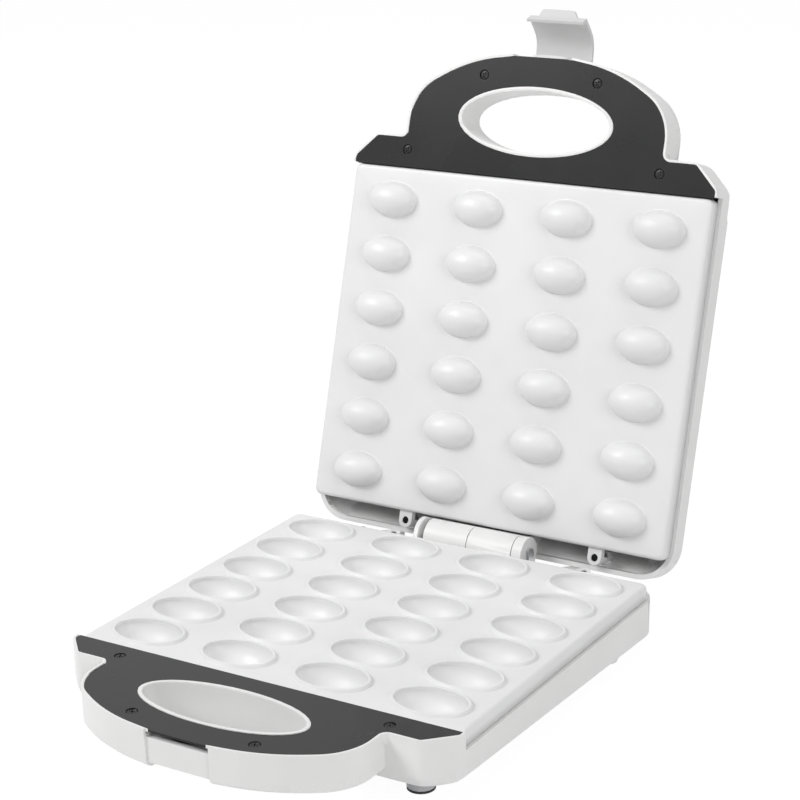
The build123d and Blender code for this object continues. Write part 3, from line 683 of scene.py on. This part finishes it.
def rounded_copy(node, width, material=None):
    form = merged_copy(node, base_place)
    count = round_edges(form, width)
    bmesh.ops.transform(form, verts=form.verts, matrix=base_place)
    piece = new_piece(node + "_skin", form, material or slot_finish[slot_of[node]],
                      nodes[node]["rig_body"])
    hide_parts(node)
    print(node, "edges rounded", count, "faces", len(piece.data.polygons))
    shade(piece)


def shell_copy(node, place, side, rim):
    form = merged_copy(node, place)
    moved = smooth_arcs(form)
    ease_shoulders(form)
    soft = soft_corners(form, side, rim)
    count = round_edges(form, edge_round, 38)
    bmesh.ops.transform(form, verts=form.verts, matrix=place)
    piece = new_piece(node + "_skin", form, white_housing, nodes[node]["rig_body"])
    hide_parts(node)
    print(node, "arc points", moved, "softened", soft, "edges rounded", count,
          "faces", len(piece.data.polygons))
    shade(piece)


shell_copy("base_housing", base_place, -1, base_rim_level)
shell_copy("lid_housing", lid_place, 1, lid_rim_level)
for node, width in (("hinge_pin", 0.2), ("hinge_clip", 0.1), ("cord_gland", 0.3)):
    rounded_copy(node, width)
for node in ("front_foot_left", "front_foot_right"):
    rounded_copy(node, 0.3, foot_plastic)
for node in ("front_foot_pad_left", "front_foot_pad_right", "rear_foot_left", "rear_foot_right"):
    rounded_copy(node, 0.3)
rounded_copy("latch", 0.25)

# %% [markdown]
# The mould plates are cast and then coated, so every form on them is soft. Each plate is one sheet
# with 24 oval holes. From each hole the sheet is drawn on ring by ring, up over a collar and down
# into a hollow, or out into a dome. Drawing on rings by extruding the hole's edge gives clean
# loops that shade smoothly. A Solidify modifier then gives the sheet its cast wall.

# %% Sheet with oval holes
columns, rows = 4, 6
column_pitch, row_pitch = 59.4, 33.3
pattern = [((i - (columns - 1) / 2) * column_pitch, (j - (rows - 1) / 2) * row_pitch)
           for i in range(columns) for j in range(rows)]
oval_steps = 48
last_ring = 88
cast_wall = 0.0024


def edge_ring(form, verts):
    chosen = set(verts)
    return [e for e in form.edges if e.verts[0] in chosen and e.verts[1] in chosen]


def oval_ring(form, x, y, z, half_length, half_width, count):
    place = Matrix.Translation((x, y, z)) @ Matrix.Diagonal((half_length, half_width, 1, 1))
    return bmesh.ops.create_circle(form, cap_ends=False, radius=1, segments=count, matrix=place)["verts"]


def drawn_on(form, edges, centre, old_size, new_size, rise):
    """One more ring from an oval edge: scaled about its centre and moved along Z."""
    made = bmesh.ops.extrude_edge_only(form, edges=edges)["geom"]
    verts = [g for g in made if isinstance(g, bmesh.types.BMVert)]
    bmesh.ops.scale(form, verts=verts, space=Matrix.Translation((-centre[0], -centre[1], 0)),
                    vec=(new_size[0] / old_size[0], new_size[1] / old_size[1], 1))
    bmesh.ops.translate(form, verts=verts, vec=(0, 0, rise))
    chosen = set(verts)
    return verts, [g for g in made if isinstance(g, bmesh.types.BMEdge)
                   and g.verts[0] in chosen and g.verts[1] in chosen]


def plate_outline(form, half_width, half_depth, corner, z):
    before = set(form.verts)
    place = Matrix.Translation((0, 0, z)) @ Matrix.Diagonal((half_width, half_depth, 1, 1))
    bmesh.ops.create_grid(form, x_segments=1, y_segments=1, size=1, matrix=place)
    verts = [v for v in form.verts if v not in before]
    bmesh.ops.bevel(form, geom=verts, offset=corner, offset_type="OFFSET", segments=8, profile=0.5,
                    affect="VERTICES", clamp_overlap=True, material=-1)
    bmesh.ops.delete(form, geom=form.faces[:], context="FACES_ONLY")
    return [v for v in form.verts if v not in before]


def mould_plate(name, plane, side, rings, place, body, node):
    """One plate, side being -1 for the lower and 1 for the upper; a ring is half length, width, height."""
    form = bmesh.new()
    corner, round_off, skirt = 5.5, 2.4, 8.7
    flat_width, flat_depth = plate_half_width - round_off, plate_half_depth - round_off
    rim = plate_outline(form, flat_width, flat_depth, corner - round_off * 0.6, plane)
    rim_edges = edge_ring(form, rim)
    hole_edges = []
    for x, y in pattern:
        verts = oval_ring(form, x, y, plane, *rings[0][:2], oval_steps)
        hole_edges.append(edge_ring(form, verts))
    bmesh.ops.triangle_fill(form, use_beauty=True, use_dissolve=False, normal=(0, 0, 1),
                            edges=rim_edges + [e for ring in hole_edges for e in ring])
    # The soft outer edge and the skirt.
    edges, size = rim_edges, (flat_width, flat_depth)
    height = 0.0
    for step in range(1, 7):
        angle = math.radians(15 * step)
        grow = round_off * math.sin(angle)
        drop = round_off * (1 - math.cos(angle))
        new_size = (flat_width + grow, flat_depth + grow)
        verts, edges = drawn_on(form, edges, (0, 0), size, new_size, side * (drop - height))
        size, height = new_size, drop
    verts, edges = drawn_on(form, edges, (0, 0), size, size, side * (skirt - height))
    # Collars and hollows, or domes.
    for (x, y), edges in zip(pattern, hole_edges):
        size, level = rings[0][:2], rings[0][2]
        for ring in rings[1:]:
            verts, edges = drawn_on(form, edges, (x, y), size, ring[:2], ring[2] - level)
            size, level = ring[:2], ring[2]
        tip = sum((v.co for v in verts), Vector()) / len(verts)
        bmesh.ops.pointmerge(form, verts=verts, merge_co=tip)
    bmesh.ops.recalc_face_normals(form, faces=form.faces)
    top = max(form.faces, key=lambda f: f.calc_area())
    if top.normal.z * side > 0:
        bmesh.ops.reverse_faces(form, faces=form.faces)
    bmesh.ops.transform(form, verts=form.verts, matrix=place)
    piece = new_piece(name, form, coated_plate, body)
    piece.data.shade_smooth()
    wall = piece.modifiers.new("cast_wall", "SOLIDIFY")
    wall.thickness = cast_wall
    wall.offset = -1
    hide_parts(node)
    print(name, "faces", len(piece.data.polygons))


def bowl(half_length, half_width, depth, start, steps, level):
    """Rings of an egg-shaped bowl, from start degrees below its brim nearly to its lowest point."""
    rings = []
    for step in range(steps):
        angle = math.radians(start + (last_ring - start) * step / (steps - 1))
        rings.append((half_length * math.cos(angle), half_width * math.cos(angle),
                      level - depth * math.sin(angle)))
    return rings


# %% [markdown]
# The lower plate has a raised collar round each hollow: a soft foot, a sloping side, a narrow flat
# land, and then the hollow, as deep as half a walnut.

# %% Lower plate
hollow = (20.5, 13.75)
hollow_depth = 13.6
collar = [(2.84, lower_plate_level), (2.62, -1.77), (2.42, -1.66), (2.2, -1.46), (1.65, -0.5),
          (1.48, -0.22), (1.3, -0.06), (1.1, 0.0), (0.34, 0.0), (0.14, -0.04), (0.0, -0.16)]
lower_rings = [(hollow[0] + grow, hollow[1] + grow, z) for grow, z in collar]
lower_rings += bowl(*hollow, hollow_depth, 4, 13, 0.0)
mould_plate("lower_plate_sheet", lower_plate_level, -1, lower_rings, base_place, "base", "lower_plate")

# %% [markdown]
# The upper plate carries domes that press the batter into thin shells. They rise from the plate
# with a small soft foot.

# %% Upper plate
dome = (16.3, 10.7)
dome_rise = 10.2
dome_foot = [(0.9, upper_plate_level), (0.45, upper_plate_level), (0.2, 0.2), (0.05, -0.02)]
upper_rings = [(dome[0] + grow, dome[1] + grow, z) for grow, z in dome_foot]
upper_rings += bowl(*dome, dome_rise, 3, 14, 0.1)
mould_plate("upper_plate_sheet", upper_plate_level, 1, upper_rings, lid_place, "lid", "upper_plate")

# %% [markdown]
# The rear screw lugs and the front tongues of each plate keep their CAD form: a copy of the plate
# is cut behind and in front of its skirt, and only the outer ends are kept.

# %% Plate lugs and tongues
end_cut, skirt_reach = 102.6, 103.25


def plate_ends(name, node, place, body):
    form = merged_copy(node, place)
    tongues = form.copy()
    for part, y, normal in ((form, end_cut, (0, 1, 0)), (tongues, -end_cut, (0, -1, 0))):
        bmesh.ops.bisect_plane(part, geom=part.verts[:] + part.edges[:] + part.faces[:], dist=0.0001,
                               plane_co=(0, y, 0), plane_no=normal, clear_inner=True)
        # What is left of the skirt itself lies beside the lugs and goes too.
        beside = [f for f in part.faces if abs(f.calc_center_median().y) < skirt_reach]
        bmesh.ops.delete(part, geom=beside, context="FACES")
    for part in (form, tongues):
        round_edges(part, 0.3, 40, 1)
    carrier = bpy.data.meshes.new("tongues")
    tongues.to_mesh(carrier)
    tongues.free()
    form.from_mesh(carrier)
    bpy.data.meshes.remove(carrier)
    bmesh.ops.transform(form, verts=form.verts, matrix=place)
    piece = new_piece(name, form, coated_plate, body)
    print(name, "faces", len(piece.data.polygons))
    shade(piece)


plate_ends("lower_plate_ends", "lower_plate", base_place, "base")
plate_ends("upper_plate_ends", "upper_plate", lid_place, "lid")

# %% [markdown]
# The charcoal trim panels are separate mouldings. Each gets four screw wells with a slightly wider
# mouth. A cut with a second form is a Boolean modifier, and its result is read back as a mesh at
# once. A thin lip fills the slit between the panel and the plate. Its black, darker than the trim,
# is painted shade, which makes that slit a dark line.

# %% Trim panels with screw wells
well_radius, mouth_radius = 3.1, 3.5
slit_y, slit_width = -103.455, 0.41


def cut_by(piece, cutter_form):
    mesh = bpy.data.meshes.new("cutter")
    cutter_form.to_mesh(mesh)
    cutter_form.free()
    cutter = bpy.data.objects.new("cutter", mesh)
    bpy.context.scene.collection.objects.link(cutter)
    cut = piece.modifiers.new("cut", "BOOLEAN")
    cut.operation = "DIFFERENCE"
    cut.solver = "EXACT"
    cut.object = cutter
    bpy.context.view_layer.update()
    result = bpy.data.meshes.new_from_object(piece.evaluated_get(bpy.context.evaluated_depsgraph_get()))
    piece.modifiers.clear()
    old = piece.data
    piece.data = result
    result.name = old.name
    bpy.data.objects.remove(cutter)


def trim_panel(node, place, body, face, side):
    form = merged_copy(node, place)
    smooth_arcs(form, grip_ovals)
    ease_shoulders(form)
    count = round_edges(form, edge_round, 40)
    bmesh.ops.transform(form, verts=form.verts, matrix=place)
    piece = new_piece(node + "_skin", form, charcoal_trim, body)
    cuts = ((well_radius, 6.0, face - side * 1.6), (mouth_radius, 0.5, face))
    for wide, depth, level in cuts:
        low, high = (well_radius, wide) if side > 0 else (wide, well_radius)
        wells = bmesh.new()
        for x, y in screw_places:
            bmesh.ops.create_cone(wells, cap_ends=True, cap_tris=False, segments=40, radius1=low,
                                  radius2=high, depth=depth, matrix=Matrix.Translation((x, y, level)))
        bmesh.ops.transform(wells, verts=wells.verts, matrix=place)
        cut_by(piece, wells)
    whole = bmesh.new()
    whole.from_mesh(piece.data)
    bmesh.ops.dissolve_limit(whole, angle_limit=math.radians(0.3), verts=whole.verts, edges=whole.edges)
    whole.to_mesh(piece.data)
    whole.free()
    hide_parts(node)
    # The lip is coloured black, darker than the trim, as painted shade in the slit.
    painted_shade_lip = bmesh.new()
    bmesh.ops.create_cube(painted_shade_lip, size=1, matrix=Matrix.Translation((0, slit_y, face + side * 0.9))
                          @ Matrix.Diagonal((236, slit_width, 1.2, 1)))
    bmesh.ops.transform(painted_shade_lip, verts=painted_shade_lip.verts, matrix=place)
    new_piece(node + "_lip", painted_shade_lip, screw_black_and_painted_shade, body)
    print(node, "edges", count, "faces", len(piece.data.polygons))
    shade(piece, 40)


trim_panel("base_handle_panel", base_place, "base", base_trim_level, -1)
trim_panel("lid_handle_panel", lid_place, "lid", lid_trim_level, 1)

# %% [markdown]
# A screw is blackened steel with a flat head and a cross recess. It is turned as a short stepped
# rod, and two crossing bars cut the recess one after the other. Four hold each trim panel, and two
# sit deep in the rear lugs of each plate.

# %% Cross-head screws
trim_sink, lug_step = 0.15, 3.6
head, shank_end = 1.5, 3.5
lug_screw_radius = 2.2


def cross_screw(name, x, y, face, side, place, body, radius=2.7, material=screw_black_and_painted_shade):
    form = bmesh.new()
    profile = [(0.0, 0.0), (radius - 0.5, 0.0), (radius - 0.15, 0.12), (radius, 0.4), (radius, head),
               (radius * 0.5, head), (radius * 0.5, shank_end), (0.0, shank_end)]
    verts = [form.verts.new((px, 0, pz)) for px, pz in profile]
    edges = [form.edges.new(pair) for pair in zip(verts, verts[1:])]
    bmesh.ops.spin(form, geom=verts + edges, cent=(0, 0, 0), axis=(0, 0, 1), angle=math.tau, steps=40,
                   use_merge=True)
    bmesh.ops.remove_doubles(form, verts=form.verts, dist=0.0001)
    bmesh.ops.recalc_face_normals(form, faces=form.faces)
    turn = Matrix.Scale(-1, 4, (0, 0, 1)) if side < 0 else Matrix.Identity(4)
    local = Matrix.Translation((x, y, face + side * 0.25)) @ turn
    bmesh.ops.transform(form, verts=form.verts, matrix=place @ local)
    bmesh.ops.recalc_face_normals(form, faces=form.faces)
    piece = new_piece(name, form, material, body)
    for angle in (25, 115):
        bar = bmesh.new()
        bmesh.ops.create_cube(bar, size=1, matrix=Matrix.Rotation(math.radians(angle), 4, "Z")
                              @ Matrix.Diagonal((radius * 1.3, radius * 0.3, 1.4, 1)))
        bmesh.ops.transform(bar, verts=bar.verts, matrix=place @ local)
        bmesh.ops.recalc_face_normals(bar, faces=bar.faces)
        cut_by(piece, bar)
    shade(piece, 40)


for number, (x, y) in enumerate(screw_places):
    cross_screw(f"base_trim_screw_{number + 1}", x, y, base_trim_level - trim_sink, -1, base_place,
                "base", material=trim_screw)
    cross_screw(f"lid_trim_screw_{number + 1}", x, y, lid_trim_level + trim_sink, 1, lid_place,
                "lid", material=trim_screw)
for number, x in enumerate(lug_xs):
    cross_screw(f"lower_lug_screw_{number + 1}", x, lug_y, lower_plate_level - lug_step, -1,
                base_place, "base", lug_screw_radius)
    cross_screw(f"upper_lug_screw_{number + 1}", x, lug_y, upper_plate_level + lug_step, 1,
                lid_place, "lid", lug_screw_radius)

# %% [markdown]
# Each grip opening is lined with a smooth white sleeve that ends in a raised, rounded ring round
# the trim. It is one oval edge drawn on along its section, from outside the ring, over its top and
# down to the far side of the handle.

# %% Grip sleeves
sleeve_steps = 96
sleeve_wall = 0.0001


def grip_sleeve(name, ring_top, depth, side, place, body):
    form = bmesh.new()
    section = [(2.25, -1.2), (2.25, -0.5), (2.1, -0.15), (1.7, 0.06), (1.1, 0.1), (0.5, 0.06),
               (0.05, -0.15), (-0.12, -0.5), (-0.15, -1.2), (-0.15, -depth * 0.5),
               (-0.15, -depth + 0.8), (0.05, -depth + 0.1)]
    grow, level = section[0]
    size = (grip_half_length + grow, grip_half_width + grow)
    verts = oval_ring(form, 0, grip_y, ring_top - side * level, *size, sleeve_steps)
    edges = edge_ring(form, verts)
    for new_grow, new_level in section[1:]:
        new_size = (grip_half_length + new_grow, grip_half_width + new_grow)
        rise = -side * (new_level - level)
        verts, edges = drawn_on(form, edges, (0, grip_y), size, new_size, rise)
        size, level = new_size, new_level
    bmesh.ops.recalc_face_normals(form, faces=form.faces)
    # The face at the middle of the long side must look at the opening.
    wall_y = grip_y + grip_half_width - 0.15
    inner = min(form.faces, key=lambda f: abs(f.calc_center_median().y - wall_y))
    if inner.normal.y > 0:
        bmesh.ops.reverse_faces(form, faces=form.faces)
    bmesh.ops.transform(form, verts=form.verts, matrix=place)
    piece = new_piece(name, form, white_housing, body)
    piece.data.shade_smooth()
    wall = piece.modifiers.new("sleeve_wall", "SOLIDIFY")
    wall.thickness = sleeve_wall
    wall.offset = -1
    print(name, "faces", len(piece.data.polygons))


sleeve_depth = 22.0
grip_sleeve("base_grip_sleeve", base_trim_level + 0.3, sleeve_depth, -1, base_place, "base")
grip_sleeve("lid_grip_sleeve", lid_trim_level - 0.3, sleeve_depth, 1, lid_place, "lid")
